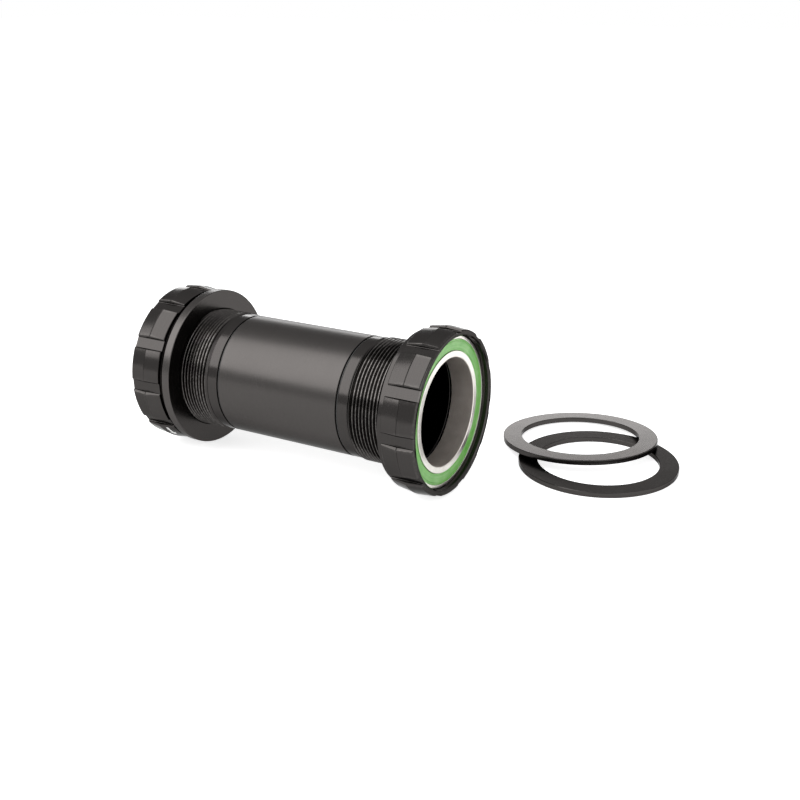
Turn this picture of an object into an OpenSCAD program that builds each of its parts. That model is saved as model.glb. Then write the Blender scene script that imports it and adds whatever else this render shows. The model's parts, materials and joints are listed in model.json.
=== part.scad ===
// Threaded bottom bracket for a bicycle frame: two bearing cups joined by a centre sleeve.
// Millimetres. X runs along the crank spindle, from the drive side (-X) to the non-drive side (+X).
// The origin is on the spindle axis, midway between the faces of the frame's shell.

/* [Frame shell] */
// Width of the frame shell that the cups screw into
shell_w = 68; // [56:0.5:100]

/* [Spacers] */
// Thickness of the spacer on the drive side
spacer_t = 2.5; // [1.5:0.1:4]
// Thickness of a loose spacer
loose_spacer_t = 1.5; // [1:0.1:3]
// Outer diameter of a spacer
spacer_d = 46; // [43:0.1:56]
// Radial clearance of a spacer's hole round the thread
spacer_clear = 0.1; // [0.05:0.05:0.4]

/* [Bearing] */
// Bore of the inner race, which is the spindle's diameter
spindle_d = 30; // [24:0.5:30]
// Outer diameter of the outer race
bearing_d = 42; // [42:0.1:52]
// Width of the bearing
bearing_w = 7; // [5.8:0.1:10]
// Diameter of one ball
ball_d = 3.5; // [2.9:0.1:3.7]
// Number of balls in one bearing
ball_count = 18; // [10:1:20]
// Radial height of the outer race at its face
outer_race_h = 1; // [0.8:0.05:1.2]
// Radial gap between the two races, beside the balls
race_gap = 2.4; // [2.2:0.05:2.5]
// Thickness of a bearing seal
seal_t = 0.55; // [0.4:0.05:0.7]

/* [Cup outside the frame] */
// Thickness of the cup's floor between its flange face and the bearing's pocket
floor_wall = 2.1; // [1:0.1:4]
// Depth of the pocket that keeps the floor clear of the turning race
pocket_deep = 0.6; // [0.4:0.1:1]
// Depth of the bearing's face below the rim
bearing_recess = 1.9; // [1.2:0.1:3]
// Thickness of the wall between the bearing and the floors of the notches
seat_wall = 1; // [0.8:0.05:2]
// Height of the lobes above the notch floors at mid width, where they are highest
lobe_h = 1.18; // [1:0.02:1.6]
// Height of the lobes above the notch floors at the rim
lobe_rim_h = 0.7; // [0.4:0.02:0.9]
// Height of the lobes above the notch floors beside the flange
lobe_shell_h = 0.5; // [0.3:0.02:0.9]
// Width of the plain shoulder beside the flange
shoulder_w = 1.8; // [0.8:0.1:2.2]
// Depth of the relief in the flange face round the thread
relief_deep = 0.2; // [0.1:0.05:0.5]
// Number of tool notches round a cup
notch_count = 11; // [8:1:16]
// Width of a tool notch
notch_w = 3.1; // [2.5:0.1:4.5]
// Angle of one notch, from the object's front upwards
notch_phase = 29.4; // [0:0.1:45]

/* [Cup inside the frame] */
// Length of the cup's tube, from its flange face to its inner end
tube_len = 15; // [15:0.5:24]
// Outside diameter of the thread
thread_d = 34.8; // [34.8:0.1:41.8]
// Pitch of the thread
thread_pitch = 1.058; // [0.85:0.001:1.06]
// Number of crests of the thread
thread_turns = 10; // [6:1:10]
// Depth of the thread
thread_depth = 0.64; // [0.4:0.02:0.66]
// Length of the smooth collar at the tube's inner end
collar_len = 3; // [2:0.1:3.2]

/* [Centre sleeve] */
// Depth of the sleeve and the collars below the thread's crests
sleeve_step = 0.3; // [0.2:0.05:0.4]
// Radial clearance of the spindle in the sleeve and in the cups' tubes
tunnel_clear = 0.3; // [0.2:0.05:0.4]
// Wall of the sleeve's two spigots
spigot_wall = 0.85; // [0.6:0.05:0.9]
// Length of a spigot inside a cup
spigot_len = 5; // [3:0.1:9]
// Thickness of the sealing ring at the foot of a spigot
ring_t = 0.6; // [0.4:0.1:1]
// Radial clearance of a spigot in its cup
spigot_clear = 0.05; // [0.03:0.01:0.08]

/* [Loose spacers] */
// Distance of the lower loose spacer along the spindle's direction
lower_x = 73; // [72:1:120]
// Distance of the lower loose spacer behind the spindle's axis
lower_y = 38; // [20:1:60]
// Compass direction in which the upper spacer is pushed off the lower one
upper_dir = 131; // [90:1:140]
// Distance by which the upper spacer is pushed off the lower one, as a share of its radius
upper_share = 0.69; // [0.66:0.01:0.8]

/* [Hidden] */
$fn = 96;

// Places along the spindle. A cup is drawn with its flange face at z = 0 and its rim at +z.
non_drive_flange_x = shell_w / 2;
drive_flange_x = -(shell_w / 2 + spacer_t);

// Bearing, drawn about its middle plane
bore_r = spindle_d / 2;
race_edge = 0.2;
outer_face_r = bearing_d / 2 - outer_race_h;
outer_land_r = outer_face_r - 0.8;
inner_land_r = outer_land_r - race_gap;
pitch_r = (inner_land_r + outer_land_r) / 2;
ball_r = ball_d / 2;
groove_clear = 0.07;
seal_set = 0.12;
seal_fit = 0.02;
seal_lip_clear = 0.1;
seal_edge = 0.08;
seal_seat_z = bearing_w / 2 - seal_set - seal_t;
cage_t = 1.4;
cage_half_w = seal_seat_z - 0.6;
cage_pocket_clear = 0.1;

// Centre sleeve, and what fits it
thread_r = thread_d / 2;
root_r = thread_r - thread_depth;
sleeve_r = thread_r - sleeve_step;
sleeve_edge = 0.15;
tunnel_r = bore_r + tunnel_clear;
spigot_r = tunnel_r + spigot_wall;
spigot_edge = 0.3;
socket_r = spigot_r + spigot_clear;
socket_spare = 0.4;
sleeve_lo_x = drive_flange_x + tube_len + ring_t;
sleeve_w = non_drive_flange_x - tube_len - ring_t - sleeve_lo_x;
ring_clear = 0.01;
ring_cord_r = ring_t / 2 - ring_clear;

// Cup, inside the frame
crest_w = 0.22;
thread_root_w = 0.12;
flank_w = (thread_pitch - crest_w - thread_root_w) / 2;
collar_slope = 0.3;
thread_end_z = -tube_len + collar_len + collar_slope;

// Cup, outside the frame
race_fit = 0.02;
cup_w = floor_wall + pocket_deep + bearing_w + bearing_recess;
seat_z = floor_wall + pocket_deep;
seat_r = bearing_d / 2 + race_fit;
pocket_r = outer_face_r - 0.4;
bearing_mid_z = seat_z + bearing_w / 2;
notch_floor_r = seat_r + seat_wall;
shoulder_r = notch_floor_r - 0.7;
lobe_r = notch_floor_r + lobe_h;
lobe_rim_r = notch_floor_r + lobe_rim_h;
lobe_shell_r = notch_floor_r + lobe_shell_h;
lobe_edge = 0.25;
rim_edge = 0.3;
rim_round = 0.5;
mouth_edge = 0.35;
line_z = shoulder_w + (cup_w - shoulder_w) * 0.5;
line_half_w = 0.16;
line_h = 0.12;
notch_over = 1;

// Spacers, and the surface that everything rests on
spacer_r = spacer_d / 2;
spacer_hole_r = thread_r + spacer_clear;
spacer_edge = 0.2;
floor_z = -max(spacer_r, lobe_r);

// The upper loose spacer rests on the lower one at the two points where its hole meets the
// lower one's outside, and on the surface at its far edge.
rest_gap = 0.02;
upper_shift = spacer_r * upper_share;
prop_x = (pow(upper_shift, 2) + pow(spacer_r, 2) - pow(spacer_hole_r, 2)) / (2 * upper_shift);
upper_tilt = atan((loose_spacer_t + rest_gap) / (upper_shift + spacer_r - prop_x));

// Turns a shape drawn along +z so that it runs outwards from one flange.
module at_side(side) {
    flange_x = side == "drive" ? drive_flange_x : non_drive_flange_x;
    turn = side == "drive" ? -90 : 90;
    translate([flange_x, 0, 0]) rotate([0, turn, 0]) children();
}

// Places a shape drawn about the bearing's middle plane, with +z towards the rim.
module in_bearing(side) {
    at_side(side) translate([0, 0, bearing_mid_z]) children();
}

// A ring with small chamfers, standing on z = 0
module chamfered_ring(r_in, r_out, h, c) {
    rotate_extrude() polygon([
        [r_in + c, 0], [r_out - c, 0], [r_out, c], [r_out, h - c],
        [r_out - c, h], [r_in + c, h], [r_in, h - c], [r_in, c]
    ]);
}

// The thread's section, as rings at the true pitch
function thread_points() = [
    for (i = [0 : thread_turns - 1], p = [
        [root_r, thread_root_w],
        [thread_r, thread_root_w + flank_w],
        [thread_r, thread_root_w + flank_w + crest_w],
        [root_r, thread_root_w + flank_w + crest_w + flank_w]
    ]) [p[0], thread_end_z + i * thread_pitch + p[1]]
];

function cup_profile() = concat(
    [
        [socket_r, -tube_len],
        [sleeve_r - sleeve_edge, -tube_len],
        [sleeve_r, -tube_len + sleeve_edge],
        [sleeve_r, -tube_len + collar_len],
        [root_r, thread_end_z]
    ],
    thread_points(),
    [
        [root_r, relief_deep],
        [spacer_hole_r, relief_deep],
        [spacer_hole_r, 0],
        [shoulder_r, 0],
        [shoulder_r, shoulder_w],
        [lobe_shell_r - lobe_edge, shoulder_w],
        [lobe_shell_r, shoulder_w + lobe_edge],
        [lobe_r, line_z - line_half_w],
        [lobe_r - line_h, line_z],
        [lobe_r, line_z + line_half_w],
        [lobe_rim_r, cup_w - rim_round - rim_edge],
        [lobe_rim_r - rim_edge, cup_w - rim_edge],
        [lobe_rim_r - rim_edge - rim_round, cup_w],
        [seat_r + mouth_edge, cup_w],
        [seat_r, cup_w - mouth_edge],
        [seat_r, seat_z],
        [pocket_r, seat_z],
        [pocket_r, seat_z - pocket_deep],
        [tunnel_r, seat_z - pocket_deep],
        [tunnel_r, -tube_len + spigot_len + ring_t + socket_spare],
        [socket_r, -tube_len + spigot_len + ring_t + socket_spare]
    ]
);

// One cup: a turned shell with flat-floored tool notches along its outside.
// Seen from the front, the notches stand at the same angles on both sides.
module cup(side) {
    flip = side == "drive" ? 1 : -1;
    at_side(side) difference() {
        rotate_extrude() polygon(cup_profile());
        for (i = [0 : notch_count - 1]) {
            rotate([0, 0, flip * (notch_phase + i * 360 / notch_count)])
                translate([-notch_w / 2, -lobe_r - notch_over, shoulder_w])
                cube([notch_w, lobe_r + notch_over - notch_floor_r, cup_w]);
        }
    }
}

module outer_race(side) {
    half_w = bearing_w / 2;
    seal_r = outer_face_r + seal_fit;
    in_bearing(side) difference() {
        rotate_extrude() polygon([
            [bearing_d / 2 - race_edge, -half_w], [bearing_d / 2, -half_w + race_edge],
            [bearing_d / 2, half_w - race_edge], [bearing_d / 2 - race_edge, half_w],
            [seal_r, half_w], [seal_r, seal_seat_z],
            [outer_land_r, seal_seat_z], [outer_land_r, -seal_seat_z],
            [seal_r, -seal_seat_z], [seal_r, -half_w]
        ]);
        ball_groove();
    }
}

module inner_race(side) {
    in_bearing(side) difference() {
        translate([0, 0, -bearing_w / 2])
            chamfered_ring(bore_r, inner_land_r, bearing_w, race_edge);
        ball_groove();
    }
}

module ball_groove() {
    rotate_extrude() translate([pitch_r, 0]) circle(r = ball_r + groove_clear, $fn = 48);
}

module round_the_balls() {
    for (i = [0 : ball_count - 1]) {
        rotate([0, 0, i * 360 / ball_count]) translate([pitch_r, 0, 0]) children();
    }
}

module balls(side) {
    in_bearing(side) round_the_balls() sphere(r = ball_r, $fn = 32);
}

// The cage is a band with a round window for each ball.
module cage(side) {
    in_bearing(side) difference() {
        translate([0, 0, -cage_half_w])
            chamfered_ring(pitch_r - cage_t / 2, pitch_r + cage_t / 2, 2 * cage_half_w, race_edge);
        round_the_balls() rotate([0, 90, 0])
            cylinder(r = ball_r + cage_pocket_clear, h = 2 * cage_t, center = true, $fn = 32);
    }
}

// A seal plate on the +z side. It sits in the outer race and clears the inner race.
module seal_plate() {
    translate([0, 0, seal_seat_z])
        chamfered_ring(inner_land_r + seal_lip_clear, outer_face_r, seal_t, seal_edge);
}

module outer_seal(side) {
    in_bearing(side) seal_plate();
}

module inner_seal(side) {
    in_bearing(side) mirror([0, 0, 1]) seal_plate();
}

// The ring that seals the joint between a cup's tube and the sleeve
module sleeve_seal_ring(side) {
    at_side(side) translate([0, 0, -tube_len - ring_t / 2]) rotate_extrude()
        translate([socket_r + ring_cord_r, 0]) circle(r = ring_cord_r, $fn = 24);
}

// The sleeve, with a thinner spigot at each end
module sleeve() {
    reach = spigot_len + ring_t;
    translate([sleeve_lo_x, 0, 0]) rotate([0, 90, 0]) rotate_extrude() polygon([
        [tunnel_r, -reach], [spigot_r - spigot_edge, -reach],
        [spigot_r, -reach + spigot_edge], [spigot_r, 0],
        [sleeve_r - sleeve_edge, 0], [sleeve_r, sleeve_edge],
        [sleeve_r, sleeve_w - sleeve_edge], [sleeve_r - sleeve_edge, sleeve_w],
        [spigot_r, sleeve_w], [spigot_r, sleeve_w + reach - spigot_edge],
        [spigot_r - spigot_edge, sleeve_w + reach], [tunnel_r, sleeve_w + reach]
    ]);
}

module spacer(thickness) {
    chamfered_ring(spacer_hole_r, spacer_r, thickness, spacer_edge);
}

// The spacer between the drive cup's flange and the shell
module mounted_spacer() {
    translate([drive_flange_x, 0, 0]) rotate([0, 90, 0]) spacer(spacer_t);
}

module lower_spacer() {
    translate([lower_x, lower_y, floor_z]) spacer(loose_spacer_t);
}

module upper_spacer() {
    translate([lower_x, lower_y, floor_z + rest_gap]) rotate([0, 0, upper_dir])
        translate([upper_shift + spacer_r, 0, 0]) rotate([0, upper_tilt, 0])
        translate([-spacer_r, 0, 0]) spacer(loose_spacer_t);
}

anodised = "#2b2a2b";
rubber = "#141414";
steel = "#b9b5ae";
bright_steel = "#dcdcdc";
nylon = "#7a4a2a";
green = "#4fb84a";

color(anodised) sleeve();  // centre_sleeve
color(rubber) sleeve_seal_ring("drive");  // drive_sleeve_seal_ring
color(rubber) sleeve_seal_ring("non_drive");  // non_drive_sleeve_seal_ring
color(anodised) cup("drive");  // drive_cup
color(anodised) cup("non_drive");  // non_drive_cup
color(steel) outer_race("drive");  // drive_outer_race
color(steel) outer_race("non_drive");  // non_drive_outer_race
color(steel) inner_race("drive");  // drive_inner_race
color(steel) inner_race("non_drive");  // non_drive_inner_race
color(bright_steel) balls("drive");  // drive_bearing_balls
color(bright_steel) balls("non_drive");  // non_drive_bearing_balls
color(nylon) cage("drive");  // drive_ball_cage
color(nylon) cage("non_drive");  // non_drive_ball_cage
color(green) outer_seal("drive");  // drive_outer_seal
color(green) outer_seal("non_drive");  // non_drive_outer_seal
color(rubber) inner_seal("drive");  // drive_inner_seal
color(rubber) inner_seal("non_drive");  // non_drive_inner_seal
color(anodised) mounted_spacer();  // drive_shell_spacer
color(anodised) lower_spacer();  // loose_spacer_lower
color(anodised) upper_spacer();  // loose_spacer_upper
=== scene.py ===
import json
import math

import bmesh
import bpy
import numpy as np
from mathutils import Matrix, Vector


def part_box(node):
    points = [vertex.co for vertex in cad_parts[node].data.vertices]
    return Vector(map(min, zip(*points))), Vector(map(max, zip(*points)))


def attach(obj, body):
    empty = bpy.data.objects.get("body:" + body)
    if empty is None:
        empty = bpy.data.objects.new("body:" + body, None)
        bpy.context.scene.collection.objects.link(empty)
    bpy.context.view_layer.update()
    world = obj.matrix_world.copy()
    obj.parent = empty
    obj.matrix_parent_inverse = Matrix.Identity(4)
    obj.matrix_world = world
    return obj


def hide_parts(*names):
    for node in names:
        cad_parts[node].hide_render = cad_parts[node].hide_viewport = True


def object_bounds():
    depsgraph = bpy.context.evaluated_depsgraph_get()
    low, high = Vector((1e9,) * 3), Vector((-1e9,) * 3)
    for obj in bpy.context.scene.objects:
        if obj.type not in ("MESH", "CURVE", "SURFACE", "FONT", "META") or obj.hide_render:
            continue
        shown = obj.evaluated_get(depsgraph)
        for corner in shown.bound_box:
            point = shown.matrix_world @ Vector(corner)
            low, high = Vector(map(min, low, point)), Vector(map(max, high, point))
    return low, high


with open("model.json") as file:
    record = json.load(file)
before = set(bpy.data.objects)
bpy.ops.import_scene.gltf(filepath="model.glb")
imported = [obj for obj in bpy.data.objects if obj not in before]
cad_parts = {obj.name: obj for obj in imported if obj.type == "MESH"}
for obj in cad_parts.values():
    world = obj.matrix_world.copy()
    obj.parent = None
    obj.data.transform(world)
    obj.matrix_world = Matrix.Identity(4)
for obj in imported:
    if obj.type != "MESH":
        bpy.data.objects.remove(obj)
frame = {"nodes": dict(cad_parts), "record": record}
cad_low, cad_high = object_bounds()

MM = 0.001
SIDES = ("drive", "non_drive")

# ---------------------------------------------------------------- camera

CAMERA_AZIMUTH = math.radians(30.08)
CAMERA_ELEVATION = math.radians(20.2)
CAMERA_DISTANCE = 330 * MM
CAMERA_LENS = 51.86
CAMERA_AIM = Vector((22.2, 11.16, -3.99)) * MM


def make_camera():
    """The camera stands at the right front of the part, a little above it."""
    level = math.cos(CAMERA_ELEVATION)
    back = Vector((
        math.sin(CAMERA_AZIMUTH) * level,
        -math.cos(CAMERA_AZIMUTH) * level,
        math.sin(CAMERA_ELEVATION),
    ))
    data = bpy.data.cameras.new("camera")
    data.lens = CAMERA_LENS
    data.sensor_width = 36
    data.clip_start = 0.01
    data.clip_end = 20
    camera = bpy.data.objects.new("camera", data)
    bpy.context.scene.collection.objects.link(camera)
    camera.location = CAMERA_AIM + back * CAMERA_DISTANCE
    camera.rotation_mode = "QUATERNION"
    camera.rotation_quaternion = (-back).to_track_quat("-Z", "Y")
    bpy.context.scene.camera = camera


make_camera()

# ---------------------------------------------------------------- node trees


class Wire:
    """An output socket of a node tree. Arithmetic on it adds Math nodes to the tree."""

    def __init__(self, net, socket):
        self.net = net
        self.socket = socket

    def math(self, operation, *values):
        sockets = dict(enumerate(values))
        return self.net.add("ShaderNodeMath", {"operation": operation}, sockets)

    def __add__(self, other):
        return self.math("ADD", self, other)

    def __radd__(self, other):
        return self.math("ADD", other, self)

    def __sub__(self, other):
        return self.math("SUBTRACT", self, other)

    def __rsub__(self, other):
        return self.math("SUBTRACT", other, self)

    def __mul__(self, other):
        return self.math("MULTIPLY", self, other)

    def __rmul__(self, other):
        return self.math("MULTIPLY", other, self)

    def __truediv__(self, other):
        return self.math("DIVIDE", self, other)

    def __rtruediv__(self, other):
        return self.math("DIVIDE", other, self)

    def __neg__(self):
        return self.math("MULTIPLY", self, -1)

    def __pow__(self, other):
        return self.math("POWER", self, other)

    def __gt__(self, other):
        return self.math("GREATER_THAN", self, other)

    def __lt__(self, other):
        return self.math("LESS_THAN", self, other)


class Net:
    """A node tree under construction, for a material, the world or a geometry modifier."""

    def __init__(self, tree):
        self.tree = tree

    def add(self, kind, settings=None, sockets=None, out=0):
        """Adds one node: its settings first, then the values or links of its sockets."""
        node = self.tree.nodes.new(kind)
        for name, value in (settings or {}).items():
            if name == "stops":
                set_stops(node.color_ramp, value)
            else:
                setattr(node, name, value)
        for key, value in (sockets or {}).items():
            if isinstance(value, Wire):
                self.tree.links.new(value.socket, node.inputs[key])
            else:
                node.inputs[key].default_value = value
        return Wire(self, node.outputs[out]) if node.outputs else None

    def ramp(self, value, *stops):
        """A colour or grey that follows the value from stop to stop."""
        return self.add("ShaderNodeValToRGB", {"stops": stops}, {"Fac": value})

    def smooth(self, value, low, high):
        """0 below low and 1 above high, with a smooth step between them."""
        settings = {"interpolation_type": "SMOOTHSTEP"}
        sockets = {"Value": value, "From Min": low, "From Max": high}
        return self.add("ShaderNodeMapRange", settings, sockets)

    def mix(self, share, first, second):
        """One colour fading into another."""
        sockets = {0: share, 6: first, 7: second}
        return self.add("ShaderNodeMix", {"data_type": "RGBA"}, sockets, out=2)


def set_stops(ramp, stops):
    while len(ramp.elements) < len(stops):
        ramp.elements.new(0.5)
    for element, (position, colour) in zip(ramp.elements, stops):
        element.position = position
        element.color = colour if len(colour) == 4 else (*colour, 1)


def grey(level):
    return (level, level, level, 1)


# ---------------------------------------------------------------- materials

AXIS_X = Vector((1, 0, 0))


def new_material(name):
    """An empty material and its tree."""
    material = bpy.data.materials.new(name)
    material.use_nodes = True
    net = Net(material.node_tree)
    net.tree.nodes.clear()
    return material, net


def finish_material(net, sockets):
    """Joins the shader to the material's output."""
    shader = net.add("ShaderNodeBsdfPrincipled", None, sockets)
    net.add("ShaderNodeOutputMaterial", None, {"Surface": shader})


def around_axis(net, centre=Vector((0, 0, 0)), axis=AXIS_X):
    """Distance along a turned piece's axis, distance from that axis, and the point, all in mm."""
    turn = axis.rotation_difference(AXIS_X).to_euler()
    place = net.add("ShaderNodeTexCoord", out="Object")
    moved = net.add("ShaderNodeMapping", None, {"Vector": place, "Location": -centre})
    turned = net.add("ShaderNodeMapping", None, {"Vector": moved, "Rotation": turn})
    point = net.add(
        "ShaderNodeVectorMath", {"operation": "SCALE"}, {0: turned, "Scale": 1 / MM})
    parts = net.add("ShaderNodeSeparateXYZ", None, {0: point})
    across = [Wire(net, parts.socket.node.outputs[i]) for i in (1, 2)]
    radius = (across[0] * across[0] + across[1] * across[1]) ** 0.5
    return parts, radius, point


def turning_marks(net, along, radius, per_mm, detail=3.0):
    """Fine rings left by a lathe tool, on a cylinder and on a face alike."""
    settings = {"noise_dimensions": "1D"}
    sockets = {"W": (along + radius) * per_mm, "Scale": 1.0, "Detail": detail}
    return net.add("ShaderNodeTexNoise", settings, sockets)


def cloud(net, point, per_mm, detail=2.0):
    """Soft three-dimensional noise."""
    return net.add(
        "ShaderNodeTexNoise", None, {"Vector": point, "Scale": per_mm, "Detail": detail})


def bump(net, height, distance, strength=1.0):
    sockets = {"Height": height, "Distance": distance, "Strength": strength}
    return net.add("ShaderNodeBump", None, sockets)


def attribute(net, name):
    return net.add("ShaderNodeAttribute", {"attribute_name": name}, out="Fac")


def black_anodised(name, tone, roughness, centre=Vector((0, 0, 0)), axis=AXIS_X, worn_and_highlit=False):
    """Dyed anodised aluminium: a dark metal with a satin sheen, turned before it was dyed."""
    material, net = new_material(name)
    along, radius, point = around_axis(net, centre, axis)
    rings = turning_marks(net, along, radius, 9)
    fine = turning_marks(net, along, radius, 34, 2)
    grain = cloud(net, point, 14, 3)
    handling = cloud(net, point, 0.12)
    shade = rings * 0.35 + fine * 0.25 + grain * 0.4
    dark = [tone * 0.84, tone * 0.78, tone * 0.75]
    light = [tone * 1.26, tone * 1.18, tone * 1.14]
    colour = net.ramp(net.smooth(shade, 0.36, 0.64), (0, dark), (1, light))
    # A lighter grey on the marked points: rubbed wear on the lobes' edges and rim that also stands in
    # for their highlights, and a painted highlight along the thread's crests.
    if worn_and_highlit:
        patchy = net.smooth(cloud(net, point, 1.6, 4), 0.4, 0.66)
        edge = attribute(net, "edge_wear") * (0.25 + patchy * 0.75)
        colour = net.mix(edge * 0.5, colour, (0.22, 0.21, 0.2, 1))
    rough = roughness - 0.05 + grain * 0.06 + handling * 0.05
    height = rings * 0.5 + fine * 0.2 + grain * 0.5
    finish_material(net, {
        "Base Color": colour,
        "Metallic": 1.0,
        "Roughness": rough,
        "Specular Tint": grey(0.5),
        "Normal": bump(net, height, 0.004 * MM, 0.8),
    })
    return material


def bearing_steel():
    """Ground and hardened steel: bright on the faces, brushed round and darker in the bore."""
    material, net = new_material("bearing_steel")
    along, radius, point = around_axis(net)
    rings = turning_marks(net, along, radius, 16)
    fine = turning_marks(net, along, radius, 60, 2)
    smear = cloud(net, point, 0.35, 3)
    bore = 1 - net.smooth(radius, BORE_R / MM + 0.02, BORE_R / MM + 0.12)
    face = net.ramp(
        rings * 0.6 + smear * 0.4,
        (0.3, (0.56, 0.53, 0.49)), (0.5, (0.7, 0.67, 0.63)), (0.7, (0.8, 0.78, 0.75)))
    brushed = net.ramp(
        rings * 0.45 + fine * 0.35 + smear * 0.2,
        (0.32, (0.46, 0.41, 0.37)), (0.5, (0.62, 0.57, 0.53)), (0.68, (0.8, 0.75, 0.71)))
    colour = net.mix(bore, face, brushed)
    finish_material(net, {
        "Base Color": colour,
        "Metallic": 1.0,
        "Roughness": 0.24 + bore * 0.22 + fine * 0.08,
        "Normal": bump(net, rings * 0.6 + fine * 0.4, 0.004 * MM, 0.7),
    })
    return material


def moulded_rubber(name, low, mid, high, roughness):
    """Moulded seal rubber, a little cloudy, with fine flow lines round the axis."""
    material, net = new_material(name)
    along, radius, point = around_axis(net)
    flow = turning_marks(net, along, radius, 4, 2)
    clouds = cloud(net, point, 0.22, 3)
    dust = cloud(net, point, 9, 3)
    shade = flow * 0.25 + clouds * 0.5 + dust * 0.25
    colour = net.ramp(shade, (0.36, low), (0.5, mid), (0.64, high))
    finish_material(net, {
        "Base Color": colour,
        "Roughness": roughness + dust * 0.16,
        "Specular IOR Level": 0.5,
        "Normal": bump(net, dust * 0.7 + flow * 0.3, 0.01 * MM, 0.5),
    })
    return material


def polished_balls():
    """Lapped and polished bearing balls under a film of grease."""
    material, net = new_material("ball_steel")
    point = around_axis(net)[2]
    film = cloud(net, point, 0.8, 3)
    colour = net.ramp(film, (0.35, (0.55, 0.53, 0.5)), (0.6, (0.82, 0.82, 0.82)))
    finish_material(net, {
        "Base Color": colour,
        "Metallic": 1.0,
        "Roughness": 0.06 + net.smooth(film, 0.45, 0.7) * 0.14,
        "Coat Weight": net.smooth(film, 0.4, 0.6) * 0.5,
    })
    return material


def cage_nylon():
    """Glass-filled nylon, with its short fibres just under the skin."""
    material, net = new_material("cage_nylon")
    point = around_axis(net)[2]
    stretched = net.add("ShaderNodeMapping", None, {"Vector": point, "Scale": (1, 9, 9)})
    fibres = cloud(net, stretched, 1.4, 4)
    clouds = cloud(net, point, 0.5)
    colour = net.ramp(
        fibres * 0.6 + clouds * 0.4, (0.35, (0.2, 0.09, 0.035)), (0.65, (0.38, 0.2, 0.09)))
    finish_material(net, {
        "Base Color": colour,
        "Roughness": 0.42 + fibres * 0.2,
        "Normal": bump(net, fibres, 0.02 * MM, 0.5),
    })
    return material


def arrow_print():
    """White pad-printing ink, thin enough to be a little uneven."""
    material, net = new_material("arrow_print")
    point = around_axis(net)[2]
    speck = cloud(net, point, 7, 3)
    colour = net.ramp(speck, (0.3, (0.62, 0.62, 0.61)), (0.5, (0.86, 0.86, 0.85)))
    finish_material(net, {
        "Base Color": colour,
        "Roughness": 0.5 + speck * 0.2,
        "Normal": bump(net, speck, 0.004 * MM, 0.6),
    })
    return material


# ---------------------------------------------------------------- turned shapes

# Places along the spindle come from the frame. A cup is described from its flange face
# outwards, so one description serves both sides.
TUBE_LEN = 15 * MM
CUP_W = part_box("non_drive_cup")[1].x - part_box("non_drive_cup")[0].x - TUBE_LEN
BORE_R = next(m for m in frame["record"]["mounts"] if m["kind"] == "bore")["dims"]["r_mm"] * MM
FLANGE_X = {
    "drive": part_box("drive_cup")[1].x - TUBE_LEN,
    "non_drive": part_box("non_drive_cup")[0].x + TUBE_LEN,
}
OUTWARDS = {"drive": -1, "non_drive": 1}

COLUMNS_PER_LOBE = 32
NOTCH_COUNT = 11
COLUMNS = COLUMNS_PER_LOBE * NOTCH_COUNT
NOTCH_PHASE = math.radians(29.4)
SECTOR = 2 * math.pi / NOTCH_COUNT
WELD = 0.002 * MM
SUPPORT = 0.04 * MM


def on_spindle(side):
    """Places a point on the spindle axis: z outwards from the flange, angle from the front up."""
    def place(z, radius, angle):
        x = FLANGE_X[side] + OUTWARDS[side] * z
        return Vector((x, -radius * math.cos(angle), radius * math.sin(angle)))
    return place


def z_range(node, side):
    """Where a node starts and ends, measured outwards from its cup's flange face."""
    ends = [(corner.x - FLANGE_X[side]) * OUTWARDS[side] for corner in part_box(node)]
    return min(ends), max(ends)


def rounded(corners, steps=4, closed=True):
    """Points along an outline of (z, radius, rounding), with an arc at each rounded corner and a
    support point beside each arc, which keeps the flats flat when they are shaded smooth."""
    points = []
    count = len(corners)
    for i, (z, r, fillet) in enumerate(corners):
        here = Vector((z, r))
        if not closed and i in (0, count - 1):
            points.append(here)
            continue
        before = Vector(corners[i - 1][:2]) - here
        after = Vector(corners[(i + 1) % count][:2]) - here
        angle = before.angle(after)
        reach = min(fillet / math.tan(angle / 2), 0.42 * before.length, 0.42 * after.length)
        radius = reach * math.tan(angle / 2)
        if fillet <= 0 or radius < 1e-7:
            points.append(here)
            continue
        middle = here + (before.normalized() + after.normalized()).normalized() * (
            radius / math.sin(angle / 2))
        start = here + before.normalized() * reach
        end = here + after.normalized() * reach
        room = min(SUPPORT, 0.05 * before.length, 0.05 * after.length)
        points.append(start + before.normalized() * room)
        for k in range(steps + 1):
            arm = (start - middle).lerp(end - middle, k / steps).normalized() * radius
            points.append(middle + arm)
        points.append(end + after.normalized() * room)
    return [(p.x, p.y) for p in points]


def ring_rows(bm, place, points, columns=COLUMNS):
    """One circle of vertices for each (z, radius) point."""
    angles = [NOTCH_PHASE + 2 * math.pi * c / columns for c in range(columns)]
    return [[bm.verts.new(place(z, r, a)) for a in angles] for z, r in points]


def skin(bm, rows, close_rows=False, close_columns=True):
    """Quads between neighbouring rows of vertices."""
    pairs = list(zip(rows, rows[1:]))
    if close_rows:
        pairs.append((rows[-1], rows[0]))
    for low, high in pairs:
        count = len(low) if close_columns else len(low) - 1
        for c in range(count):
            n = (c + 1) % len(low)
            bm.faces.new((low[c], low[n], high[n], high[c]))


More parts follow.
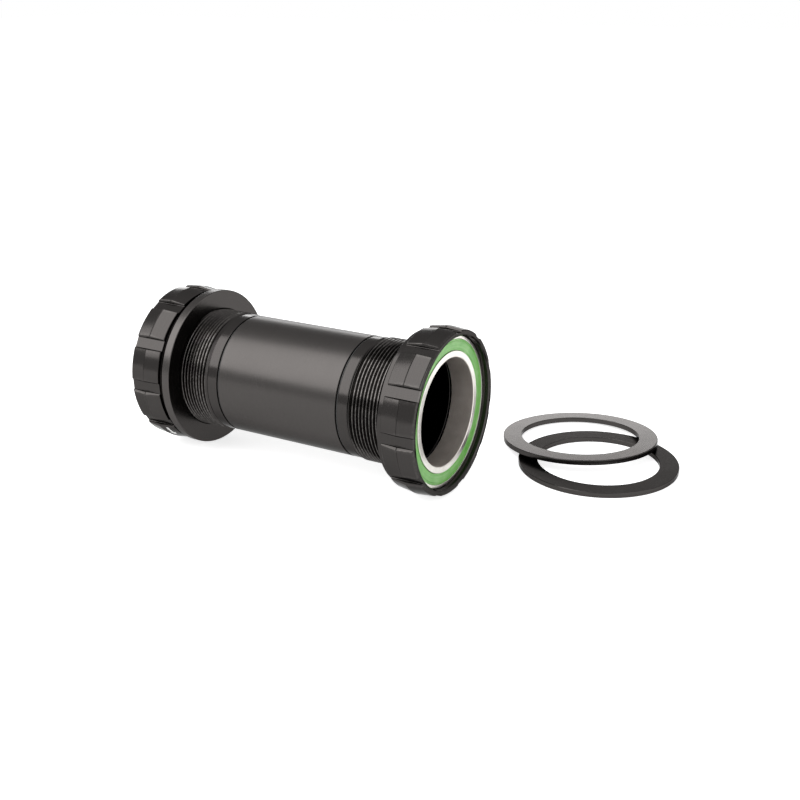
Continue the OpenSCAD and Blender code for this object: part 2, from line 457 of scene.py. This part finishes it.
def settle(bm, name, material, crease=math.radians(32)):
    """Welds the seams, turns the faces outwards, marks the crisp edges and makes the object."""
    bmesh.ops.remove_doubles(bm, verts=bm.verts, dist=WELD)
    bmesh.ops.dissolve_degenerate(bm, edges=bm.edges, dist=WELD / 4)
    bmesh.ops.recalc_face_normals(bm, faces=bm.faces)
    open_edges = sum(1 for e in bm.edges if len(e.link_faces) != 2)
    if open_edges:
        print(f"{name}: {open_edges} edges are not closed")
    for face in bm.faces:
        face.smooth = True
    for edge in bm.edges:
        edge.smooth = len(edge.link_faces) == 2 and edge.calc_face_angle(0) < crease
    mesh = bpy.data.meshes.new(name)
    bm.to_mesh(mesh)
    bm.free()
    mesh.materials.clear()
    mesh.materials.append(material)
    obj = bpy.data.objects.new(name, mesh)
    bpy.context.scene.collection.objects.link(obj)
    return obj


def turned(name, place, corners, material, columns=256):
    """A closed ring turned from an outline of (z, radius, rounding) corners."""
    bm = bmesh.new()
    skin(bm, ring_rows(bm, place, rounded(corners), columns), close_rows=True)
    return settle(bm, name, material)


def hand_over(piece, body, slot, *nodes):
    """The piece rides on its body and stands for its CAD nodes."""
    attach(piece, body)
    if nodes:
        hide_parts(*nodes)
    return piece


# ---------------------------------------------------------------- geometry trees


def geometry_tree(name, labels):
    """A geometry tree with named inputs. Returns its net, its input wires and their identifiers."""
    tree = bpy.data.node_groups.new(name, "GeometryNodeTree")
    net = Net(tree)
    tree.interface.new_socket("Geometry", in_out="INPUT", socket_type="NodeSocketGeometry")
    for label, kind in labels.items():
        tree.interface.new_socket(label, in_out="INPUT", socket_type="NodeSocket" + kind)
    tree.interface.new_socket("Geometry", in_out="OUTPUT", socket_type="NodeSocketGeometry")
    start = tree.nodes.new("NodeGroupInput")
    wires = {label: Wire(net, start.outputs[label]) for label in ["Geometry", *labels]}
    names = {item.name: item.identifier for item in tree.interface.items_tree
             if item.in_out == "INPUT"}
    return net, wires, names


def end_tree(net, geometry, material):
    """Makes the instances real, gives them their material and ends the tree."""
    real = net.add("GeometryNodeRealizeInstances", None, {"Geometry": geometry})
    painted = net.add("GeometryNodeSetMaterial", None, {"Geometry": real, "Material": material})
    net.add("NodeGroupOutput", None, {"Geometry": painted})


def grown(source, net, names, values):
    """Runs a geometry tree on a mesh and returns the result as a plain mesh."""
    obj = bpy.data.objects.new("seed", source)
    bpy.context.scene.collection.objects.link(obj)
    modifier = obj.modifiers.new("tree", "NODES")
    modifier.node_group = net.tree
    for label, value in values.items():
        modifier[names[label]] = value
    obj.update_tag()
    graph = bpy.context.evaluated_depsgraph_get()
    mesh = bpy.data.meshes.new_from_object(obj.evaluated_get(graph), depsgraph=graph)
    obj.modifiers.clear()
    bpy.data.objects.remove(obj)
    return mesh


def round_tree():
    """Copies of one sector, stood round the spindle axis."""
    labels = {"Count": "Int", "Weld": "Float", "Material": "Material"}
    net, wires, names = geometry_tree("round_the_axis", labels)
    index = net.add("GeometryNodeInputIndex")
    step = 2 * math.pi / wires["Count"]
    turn = net.add("ShaderNodeCombineXYZ", None, {"X": index * step})
    points = net.add("GeometryNodeMeshLine", None, {"Count": wires["Count"], "Offset": (0, 0, 0)})
    copies = net.add("GeometryNodeInstanceOnPoints", None, {
        "Points": points,
        "Instance": wires["Geometry"],
        "Rotation": net.add("FunctionNodeEulerToRotation", None, {"Euler": turn}),
    })
    real = net.add("GeometryNodeRealizeInstances", None, {"Geometry": copies})
    welded = net.add(
        "GeometryNodeMergeByDistance", None, {"Geometry": real, "Distance": wires["Weld"]})
    end_tree(net, welded, wires["Material"])
    return net, names


def thread_tree():
    """A screw thread as one surface whose rows climb with the angle. Its crests fade at both ends."""
    labels = {label: "Float" for label in (
        "Pitch", "Root Radius", "Crest Radius", "Root Width", "Flank Width", "Crest Width",
        "Low End", "High End", "Flange", "Outwards", "Phase", "Weld")}
    labels.update({"Turns": "Int", "Columns": "Int", "Material": "Material"})
    net, wires, names = geometry_tree("screw_thread", labels)
    rows = (wires["Turns"] + 2) * 4 + 1
    grid = net.add("GeometryNodeMeshGrid", None, {
        "Size X": 1.0, "Size Y": 1.0, "Vertices X": wires["Columns"] + 1, "Vertices Y": rows})
    index = net.add("GeometryNodeInputIndex")
    column = index.math("FLOOR", (index + 0.5) / rows)
    row = index - column * rows
    turn = row.math("FLOOR", (row + 0.5) / 4)
    step = row - turn * 4
    around = column / wires["Columns"]
    climb = wires["Pitch"] * (turn - around) + wires["Root Width"] * (step > 0.5)
    climb = climb + wires["Flank Width"] * (step > 1.5) + wires["Crest Width"] * (step > 2.5)
    free = wires["Low End"] + climb
    z = free.math("MINIMUM", free.math("MAXIMUM", free, wires["Low End"]), wires["High End"])
    room = wires["Pitch"] * 0.7
    fade_in = z.math("MINIMUM", (z - wires["Low End"]) / room, 1)
    fade_out = z.math("MINIMUM", (wires["High End"] - z) / room, 1)
    depth = (wires["Crest Radius"] - wires["Root Radius"]) * (step > 1.5)
    radius = wires["Root Radius"] + depth * fade_in * fade_out
    angle = wires["Phase"] + around * (2 * math.pi)
    point = net.add("ShaderNodeCombineXYZ", None, {
        "X": wires["Flange"] + wires["Outwards"] * z,
        "Y": -(radius * angle.math("COSINE", angle)),
        "Z": radius * angle.math("SINE", angle),
    })
    shaped = net.add("GeometryNodeSetPosition", None, {"Geometry": grid, "Position": point})
    welded = net.add(
        "GeometryNodeMergeByDistance", None, {"Geometry": shaped, "Distance": wires["Weld"]})
    end_tree(net, welded, wires["Material"])
    return net, names


ROUND = round_tree()
THREAD = thread_tree()

# ---------------------------------------------------------------- finishes

ANODISED = black_anodised("black_anodised", 0.05, 0.28)
CUP_FINISH = black_anodised("cup_anodised", 0.035, 0.15, worn_and_highlit=True)
# A lighter copy of the loose rings' black (0.045): its lighter tone is painted light for the ring
# mounted on the cup.
SPACER_FINISH_LIT = black_anodised("spacer_anodised", 0.055, 0.24)
STEEL = bearing_steel()
BALL_STEEL = polished_balls()
NYLON = cage_nylon()
GREEN_RUBBER = moulded_rubber(
    "green_seal", (0.12, 0.43, 0.06), (0.19, 0.52, 0.11), (0.3, 0.6, 0.2), 0.24)
BLACK_RUBBER = moulded_rubber(
    "black_seal", (0.012, 0.012, 0.012), (0.02, 0.02, 0.02), (0.035, 0.034, 0.033), 0.5)
RING_RUBBER = moulded_rubber(
    "seal_ring_rubber", (0.01, 0.01, 0.01), (0.016, 0.016, 0.016), (0.028, 0.027, 0.026), 0.4)
INK = arrow_print()

# ---------------------------------------------------------------- cups

RACE_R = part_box("non_drive_outer_race")[1].z
SEAT_R = RACE_R + 0.02 * MM
NOTCH_FLOOR_R = SEAT_R + 1 * MM
SHOULDER_R = NOTCH_FLOOR_R - 0.7 * MM
SHOULDER_W = 1.8 * MM
LOBE_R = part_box("non_drive_cup")[1].z
LOBE_RIM_R = NOTCH_FLOOR_R + 0.7 * MM
LOBE_SHELL_R = NOTCH_FLOOR_R + 0.5 * MM
NOTCH_HALF_W = 1.55 * MM
NOTCH_FOOT = 0.16 * MM
LOBE_EDGE = 0.5 * MM
EDGE_CREST = 0.42
LINE_Z = SHOULDER_W + (CUP_W - SHOULDER_W) / 2
LINE_HALF_W = 0.16 * MM
LINE_DEPTH = 0.12 * MM
RIM_ROUND = 0.8 * MM
MOUTH_EDGE = 0.35 * MM

THREAD_R = 17.4 * MM
ROOT_R = THREAD_R - 0.64 * MM
SPACER_HOLE_R = THREAD_R + 0.1 * MM
RELIEF = 0.2 * MM
THREAD_PITCH = 1.058 * MM
THREAD_TURNS = 10
CREST_W = 0.22 * MM
THREAD_ROOT_W = 0.12 * MM
FLANK_W = (THREAD_PITCH - CREST_W - THREAD_ROOT_W) / 2
COLLAR_LEN = 3 * MM
THREAD_LOW_Z = -TUBE_LEN + COLLAR_LEN + 0.3 * MM
THREAD_HIGH_Z = THREAD_LOW_Z + THREAD_TURNS * THREAD_PITCH

TUNNEL_R = BORE_R + 0.3 * MM
SLEEVE_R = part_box("centre_sleeve")[1].z
SOCKET_R = TUNNEL_R + 0.9 * MM
SOCKET_DEPTH = 6 * MM
POCKET_R = RACE_R - 1.4 * MM
POCKET_DEPTH = 0.6 * MM

# Outside of a cup from the thread's end over the flange, the shoulder and the lobes to the rim
CUP_OUTSIDE = [
    (THREAD_HIGH_Z, ROOT_R, 0),
    (RELIEF, ROOT_R, 0.05 * MM),
    (RELIEF, SPACER_HOLE_R, 0.05 * MM),
    (0, SPACER_HOLE_R, 0.06 * MM),
    (0, SHOULDER_R, 0.12 * MM),
    (SHOULDER_W, SHOULDER_R, 0.08 * MM),
    (SHOULDER_W, LOBE_SHELL_R, 0.2 * MM),
    (LINE_Z - LINE_HALF_W, LOBE_R, 0.05 * MM),
    (LINE_Z, LOBE_R - LINE_DEPTH, 0.02 * MM),
    (LINE_Z + LINE_HALF_W, LOBE_R, 0.05 * MM),
    (CUP_W, LOBE_RIM_R, RIM_ROUND),
    (CUP_W, SEAT_R + MOUTH_EDGE, 0),
]
# Inside of a cup from the rim down to the seat, the pocket, the tunnel, the socket and the collar
CUP_INSIDE = [
    (CUP_W, SEAT_R + MOUTH_EDGE, 0),
    (CUP_W - MOUTH_EDGE, SEAT_R, 0.15 * MM),
    (z_range("non_drive_outer_race", "non_drive")[0], SEAT_R, 0.05 * MM),
    (z_range("non_drive_outer_race", "non_drive")[0], POCKET_R, 0.05 * MM),
    (z_range("non_drive_outer_race", "non_drive")[0] - POCKET_DEPTH, POCKET_R, 0.1 * MM),
    (z_range("non_drive_outer_race", "non_drive")[0] - POCKET_DEPTH, TUNNEL_R, 0.15 * MM),
    (-TUBE_LEN + SOCKET_DEPTH, TUNNEL_R, 0.05 * MM),
    (-TUBE_LEN + SOCKET_DEPTH, SOCKET_R, 0.05 * MM),
    (-TUBE_LEN, SOCKET_R, 0.1 * MM),
    (-TUBE_LEN, SLEEVE_R, 0.15 * MM),
    (-TUBE_LEN + COLLAR_LEN, SLEEVE_R, 0.05 * MM),
    (THREAD_LOW_Z, ROOT_R, 0),
]


def lobe_outline(top):
    """One sector, from the middle of a notch to the middle of the next, as (radius, angle) points.
    Top is the radius of the lobes there. Below the notch floors, the outline is round."""
    half_count = COLUMNS_PER_LOBE // 2
    height = top - NOTCH_FLOOR_R
    if height < 0.05 * MM:
        return [(top, SECTOR * c / COLUMNS_PER_LOBE) for c in range(COLUMNS_PER_LOBE + 1)]
    foot = min(NOTCH_FOOT, 0.3 * height)
    edge = min(LOBE_EDGE, 0.55 * height)
    slant = 1 - math.sqrt(0.5)
    lip = math.sqrt(top ** 2 - (NOTCH_HALF_W + edge) ** 2)
    floor_w = NOTCH_HALF_W - foot
    flat = [
        (0, NOTCH_FLOOR_R),
        (0.36 * floor_w, NOTCH_FLOOR_R),
        (0.72 * floor_w, NOTCH_FLOOR_R),
        (floor_w - SUPPORT, NOTCH_FLOOR_R),
        (floor_w, NOTCH_FLOOR_R),
        (NOTCH_HALF_W - foot * slant, NOTCH_FLOOR_R + foot * slant),
        (NOTCH_HALF_W, NOTCH_FLOOR_R + foot),
        (NOTCH_HALF_W, (NOTCH_FLOOR_R + foot + lip - edge) / 2),
        (NOTCH_HALF_W, lip - edge),
        (NOTCH_HALF_W + edge * EDGE_CREST, lip - edge * EDGE_CREST),
    ]
    half = [(math.hypot(t, h), math.atan2(t, h)) for t, h in flat]
    start = math.atan2(NOTCH_HALF_W + edge, lip)
    half += [(top, start), (top, start + SUPPORT / top)]
    rest = half_count - len(half) + 1
    start = half[-1][1]
    half += [(top, start + (SECTOR / 2 - start) * k / rest) for k in range(1, rest + 1)]
    other = [(radius, SECTOR - angle) for radius, angle in reversed(half[:-1])]
    return half + other


def lobe_sector(place):
    """The outside of a cup over one sector, as a mesh that still has to be repeated."""
    bm = bmesh.new()
    rows = []
    for z, top in rounded(CUP_OUTSIDE, closed=False):
        outline = lobe_outline(top)
        rows.append([bm.verts.new(place(z, r, NOTCH_PHASE + a)) for r, a in outline])
    skin(bm, rows, close_columns=False)
    mesh = bpy.data.meshes.new("lobe_sector")
    bm.to_mesh(mesh)
    bm.free()
    return mesh


LIP_WEAR_AND_HIGHLIGHT = 0.1 * MM


def mark_wear_and_highlight(obj, side):
    """Stores how much each point is lightened: rubbed wear on the lobes' edges and the rim, which
    also stands in for their highlights, and a painted highlight on the thread's crests.
    """
    layer = obj.data.attributes.new("edge_wear", "FLOAT", "POINT")
    for vertex, value in zip(obj.data.vertices, layer.data):
        z = (vertex.co.x - FLANGE_X[side]) * OUTWARDS[side]
        radius = math.hypot(vertex.co.y, vertex.co.z)
        angle = math.atan2(vertex.co.z, -vertex.co.y) - NOTCH_PHASE
        off = (angle + SECTOR / 2) % SECTOR - SECTOR / 2
        from_lip = abs(abs(radius * math.sin(off)) - NOTCH_HALF_W - LOBE_EDGE)
        on_lobe = radius > NOTCH_FLOOR_R + 0.3 * MM and from_lip < LIP_WEAR_AND_HIGHLIGHT
        on_rim = radius > SEAT_R + MOUTH_EDGE and z > CUP_W - 0.6 * RIM_ROUND
        on_crest = z < 0 and radius > THREAD_R - 0.05 * MM
        # The crests' 0.6 is a painted highlight; the 0.2 on the lobes' lips and the rim is wear that
        # also lightens them like a highlight.
        value.value = 0.6 if on_crest else 0.2 if on_lobe or on_rim else 0.0


def make_cup(side):
    """A cup: repeated lobes and notches outside, a true helical thread, and turned inner walls.
    The thread is left-handed on the drive side and right-handed on the other."""
    place = on_spindle(side)
    lobes = grown(lobe_sector(place), *ROUND, {
        "Count": NOTCH_COUNT, "Weld": WELD, "Material": CUP_FINISH})
    thread = grown(bpy.data.meshes.new("seed"), *THREAD, {
        "Turns": THREAD_TURNS, "Columns": COLUMNS, "Pitch": THREAD_PITCH,
        "Root Radius": ROOT_R, "Crest Radius": THREAD_R, "Root Width": THREAD_ROOT_W,
        "Flank Width": FLANK_W, "Crest Width": CREST_W, "Low End": THREAD_LOW_Z,
        "High End": THREAD_HIGH_Z, "Flange": FLANGE_X[side],
        "Outwards": float(OUTWARDS[side]), "Phase": NOTCH_PHASE,
        "Weld": WELD, "Material": CUP_FINISH})
    bm = bmesh.new()
    bm.from_mesh(lobes)
    bm.from_mesh(thread)
    skin(bm, ring_rows(bm, place, rounded(CUP_INSIDE, closed=False)))
    cup = settle(bm, f"{side}_cup_shell", CUP_FINISH)
    mark_wear_and_highlight(cup, side)
    return hand_over(cup, f"{side}_cup", "black_anodised", f"{side}_cup")


# ---------------------------------------------------------------- arrow on the drive cup

ARROW_LOW = math.radians(-55.5)
ARROW_HIGH = math.radians(-41.8)
ARROW_Z = 4.6 * MM
ARROW_SHAFT = 0.36 * MM
ARROW_HEAD = 1.1 * MM
ARROW_HEAD_SHARE = 0.4
INK_T = 0.012 * MM


def lobe_radius(z):
    """Radius of the lobes at z, below the line."""
    return float(np.interp(z, [SHOULDER_W, LINE_Z - LINE_HALF_W], [LOBE_SHELL_R, LOBE_R]))


def make_arrow():
    """The printed arrow that shows which way to tighten the drive cup."""
    place = on_spindle("drive")
    bm = bmesh.new()
    steps, across = 20, 6
    neck = ARROW_HEAD_SHARE
    stations = [neck * k / steps for k in range(steps + 1)]
    widths = [ARROW_HEAD * s / neck for s in stations]
    stations += [neck + (1 - neck) * k / steps for k in range(steps + 1)]
    widths += [ARROW_SHAFT] * (steps + 1)
    shells = []
    for lift in (INK_T / 4, INK_T):
        rows = []
        for share, width in zip(stations, widths):
            angle = ARROW_LOW + (ARROW_HIGH - ARROW_LOW) * share
            row = []
            for k in range(across + 1):
                z = ARROW_Z + width * (2 * k / across - 1)
                row.append(bm.verts.new(place(z, lobe_radius(z) + lift, angle)))
            rows.append(row)
        skin(bm, rows, close_columns=False)
        shells.append(rows)
    low, high = shells
    border = [rows[0] for rows in (low, high)], [rows[-1] for rows in (low, high)]
    for first, second in border:
        skin(bm, [first, second], close_columns=False)
    for end in (0, -1):
        skin(bm, [[row[end] for row in low], [row[end] for row in high]], close_columns=False)
    arrow = settle(bm, "drive_cup_arrow", INK)
    return hand_over(arrow, "drive_cup", "black_anodised")


# ---------------------------------------------------------------- bearings

LAND_GAP = 0.67 * MM
GROOVE_R = 1.82 * MM
SEAL_R = RACE_R - 0.98 * MM
LAND_R = RACE_R - 1.8 * MM
SHOULDER_RACE_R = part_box("non_drive_inner_race")[1].z
PITCH_R = (SHOULDER_RACE_R + LAND_R) / 2
BALL_COUNT = 18
BALL_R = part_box("non_drive_bearing_balls")[1].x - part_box("non_drive_bearing_balls")[0].x


def groove(middle, land, inwards):
    """The ball groove across a race's land, as outline points at a falling or rising z."""
    half = math.sqrt(GROOVE_R ** 2 - (PITCH_R - land) ** 2)
    limit = math.asin(half / GROOVE_R)
    side = 1 if land > PITCH_R else -1
    points = []
    for k in range(9):
        a = limit * (1 - k / 4) * inwards
        points.append((middle + GROOVE_R * math.sin(a), PITCH_R + side * GROOVE_R * math.cos(a), 0))
    return points


def make_bearing(side):
    """The races, seals and balls of one bearing."""
    place = on_spindle(side)
    low, high = z_range(f"{side}_outer_race", side)
    middle = (low + high) / 2
    edge = 0.22 * MM
    outer = turned(f"{side}_bearing_outer_ring", place, [
        (low, RACE_R, edge), (high, RACE_R, edge),
        (high, SEAL_R, 0.06 * MM), (high - LAND_GAP, SEAL_R, 0), (high - LAND_GAP, LAND_R, 0),
        *groove(middle, LAND_R, 1),
        (low + LAND_GAP, LAND_R, 0), (low + LAND_GAP, SEAL_R, 0), (low, SEAL_R, 0.06 * MM),
    ], STEEL)
    hand_over(outer, f"{side}_cup", "bearing_steel", f"{side}_outer_race")
    inner = turned(f"{side}_bearing_inner_ring", place, [
        (low, BORE_R, edge), (high, BORE_R, edge), (high, SHOULDER_RACE_R, 0.12 * MM),
        *groove(middle, SHOULDER_RACE_R, 1),
        (low, SHOULDER_RACE_R, 0.12 * MM),
    ], STEEL)
    hand_over(inner, f"{side}_inner_race", "bearing_steel", f"{side}_inner_race")
    for face, rubber, slot, way in (
            ("outer", GREEN_RUBBER, "green_seal", 1), ("inner", BLACK_RUBBER, "black_seal", -1)):
        make_seal(side, face, rubber, slot, way)
    bm = bmesh.new()
    x = FLANGE_X[side] + OUTWARDS[side] * middle
    where = Matrix.Translation((x, 0, -PITCH_R))
    bmesh.ops.create_uvsphere(bm, u_segments=28, v_segments=14, radius=BALL_R / 2, matrix=where)
    seed = bpy.data.meshes.new("ball")
    bm.to_mesh(seed)
    bm.clear()
    bm.from_mesh(grown(seed, *ROUND, {
        "Count": BALL_COUNT, "Weld": WELD, "Material": BALL_STEEL}))
    balls = settle(bm, f"{side}_balls", BALL_STEEL)
    hand_over(balls, f"{side}_ball_set", "ball_steel", f"{side}_bearing_balls")
    cage = frame["nodes"][f"{side}_ball_cage"]
    cage.data.materials.clear()
    cage.data.materials.append(NYLON)


def make_seal(side, face, rubber, slot, way):
    """A moulded seal plate with a stepped lip and a bead where it snaps into the outer race."""
    node = f"{side}_{face}_seal"
    low, high = z_range(node, side)
    back, front = (low, high) if way > 0 else (high, low)
    radius_in = SHOULDER_RACE_R + 0.1 * MM
    radius_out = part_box(node)[1].z
    groove_depth = 0.13 * MM * way
    corners = [
        (back, radius_in, 0.05 * MM),
        (front - groove_depth, radius_in, 0.06 * MM),
        (front - groove_depth, radius_in + 0.34 * MM, 0.03 * MM),
        (front, radius_in + 0.44 * MM, 0.06 * MM),
        (front, radius_out - 0.72 * MM, 0.06 * MM),
        (front - groove_depth, radius_out - 0.64 * MM, 0.03 * MM),
        (front - groove_depth, radius_out - 0.5 * MM, 0.03 * MM),
        (front, radius_out - 0.42 * MM, 0.06 * MM),
        (front, radius_out, 0.12 * MM),
        (back, radius_out, 0.08 * MM),
    ]
    seal = turned(f"{side}_{face}_seal_plate", on_spindle(side), corners, rubber)
    hand_over(seal, f"{side}_cup", slot, node)


# ---------------------------------------------------------------- sleeve, sealing rings, spacers


def make_sleeve():
    """The tube between the cups, with a thinner spigot at each end."""
    low, high = z_range("centre_sleeve", "drive")
    reach = 5.6 * MM
    spigot_r = SOCKET_R - 0.05 * MM
    sleeve = turned("centre_tube", on_spindle("drive"), [
        (low, TUNNEL_R, 0.1 * MM), (low, spigot_r, 0.3 * MM), (low + reach, spigot_r, 0.03 * MM),
        (low + reach, SLEEVE_R, 0.15 * MM), (high - reach, SLEEVE_R, 0.15 * MM),
        (high - reach, spigot_r, 0.03 * MM), (high, spigot_r, 0.3 * MM), (high, TUNNEL_R, 0.1 * MM),
    ], ANODISED, COLUMNS)
    hand_over(sleeve, "sleeve", "black_anodised", "centre_sleeve")


def make_seal_ring(side):
    """The rubber ring in the joint between a cup's tube and the sleeve."""
    node = f"{side}_sleeve_seal_ring"
    low, high = z_range(node, side)
    cord = (high - low) / 2
    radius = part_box(node)[1].z - cord
    turns = [2 * math.pi * k / 14 for k in range(14)]
    section = [(low + cord + cord * math.cos(a), radius + cord * math.sin(a), 0) for a in turns]
    ring = turned(f"{side}_joint_ring", on_spindle(side), section, RING_RUBBER)
    hand_over(ring, f"{side}_seal_ring", "seal_ring_rubber", node)


def spacer_outline(low, high, inner, outer):
    edge = 0.2 * MM
    return [(low, inner, edge), (low, outer, edge), (high, outer, edge), (high, inner, edge)]


def make_mounted_spacer():
    node = "drive_shell_spacer"
    low, high = z_range(node, "drive")
    outline = spacer_outline(low, high, SPACER_HOLE_R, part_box(node)[1].z)
    spacer = turned("drive_spacer_ring", on_spindle("drive"), outline, SPACER_FINISH_LIT, COLUMNS)
    hand_over(spacer, node, "spacer_anodised", node)


def lie_of(node):
    """Where a loose ring lies: its middle, its axis (upwards), its thickness and its radius."""
    points = np.array([v.co for v in frame["nodes"][node].data.vertices])
    axes = np.linalg.svd(points - points.mean(0), full_matrices=False)[2]
    axes[2] *= np.sign(axes[2][2])
    reach = points @ axes.T
    middle = (reach.min(0) + reach.max(0)) / 2
    size = np.ptp(reach, axis=0)
    return Vector(middle @ axes), Vector(axes[2]), float(size[2]), float(size[0]) / 2


def make_loose_spacer(node):
    """A ring that lies beside the cups, where its CAD node lies."""
    middle, axis, thick, outer = lie_of(node)
    lie = Matrix.Translation(middle) @ axis.to_track_quat("Z", "Y").to_matrix().to_4x4()

    def place(z, radius, angle):
        return lie @ Vector((radius * math.cos(angle), radius * math.sin(angle), z))

    finish = black_anodised(f"{node}_anodised", 0.045, 0.17, middle, axis)
    outline = spacer_outline(-thick / 2, thick / 2, SPACER_HOLE_R, outer)
    spacer = turned(f"{node}_ring", place, outline, finish, COLUMNS)
    hand_over(spacer, node, "spacer_anodised", node)


for side in SIDES:
    make_cup(side)
    make_bearing(side)
    make_seal_ring(side)
make_arrow()
make_sleeve()
make_mounted_spacer()
for node in ("loose_spacer_lower", "loose_spacer_upper"):
    make_loose_spacer(node)

# ---------------------------------------------------------------- floor, world and lamps


def make_floor():
    """A plain pale floor. To the camera and in reflections it is lifted to white, and it keeps
    the part's shadow."""
    half = 3.0
    bm = bmesh.new()
    corners = [(-half, -half), (half, -half), (half, half), (-half, half)]
    bm.faces.new([bm.verts.new((x, y, cad_low.z)) for x, y in corners])
    mesh = bpy.data.meshes.new("floor")
    bm.to_mesh(mesh)
    bm.free()
    floor = bpy.data.objects.new("floor", mesh)
    bpy.context.scene.collection.objects.link(floor)
    material, net = new_material("floor")
    seen = seen_directly(net)
    net.add("ShaderNodeOutputMaterial", None, {"Surface": net.add("ShaderNodeBsdfPrincipled", None, {
        "Base Color": grey(0.86), "Roughness": 0.9, "Specular IOR Level": 0.0,
        "Emission Color": net.mix(seen, grey(0), grey(1)), "Emission Strength": FLOOR_LIFT,
    })})
    mesh.materials.append(material)


def seen_directly(net):
    """1 for rays that come from the camera, or from it by way of metal or glass."""
    path = net.tree.nodes.new("ShaderNodeLightPath")
    kinds = ("Is Camera Ray", "Is Glossy Ray", "Is Transmission Ray")
    camera, glossy, through = (Wire(net, path.outputs[kind]) for kind in kinds)
    return camera.math("MAXIMUM", camera.math("MAXIMUM", camera, glossy), through)


FLOOR_LIFT = 0.75
WORLD_LEVEL = 0.35


def make_world():
    """White behind the part, and a softer level for the light it gives."""
    world = bpy.data.worlds.new("world")
    world.use_nodes = True
    bpy.context.scene.world = world
    net = Net(world.node_tree)
    net.tree.nodes.clear()
    colour = net.mix(seen_directly(net), grey(WORLD_LEVEL), grey(1))
    background = net.add("ShaderNodeBackground", None, {"Color": colour})
    net.add("ShaderNodeOutputWorld", None, {"Surface": background})


def softbox(name, toward, distance, size, radiance):
    """A lamp panel of plain white light that faces the part from a direction."""
    width, height = size
    lamp = bpy.data.lights.new(name, "AREA")
    lamp.shape = "RECTANGLE"
    lamp.size = width
    lamp.size_y = height
    lamp.energy = radiance * math.pi * width * height
    obj = bpy.data.objects.new(name, lamp)
    bpy.context.scene.collection.objects.link(obj)
    obj.location = Vector(toward).normalized() * distance
    obj.rotation_mode = "QUATERNION"
    obj.rotation_quaternion = Vector(toward).to_track_quat("Z", "Y")
    obj.visible_camera = False


make_floor()
make_world()
softbox("front_box", (-0.46, -0.46, 0.76), 1.2, (1.0, 1.6), 3.7)
softbox("side_box", (0.9, -0.25, 0.4), 1.2, (1.1, 1.0), 1.2)
softbox("back_strip", (-0.5, 0.85, 0.2), 1.3, (1.3, 0.22), 7.0)

bpy.context.scene.view_settings.view_transform = "Standard"
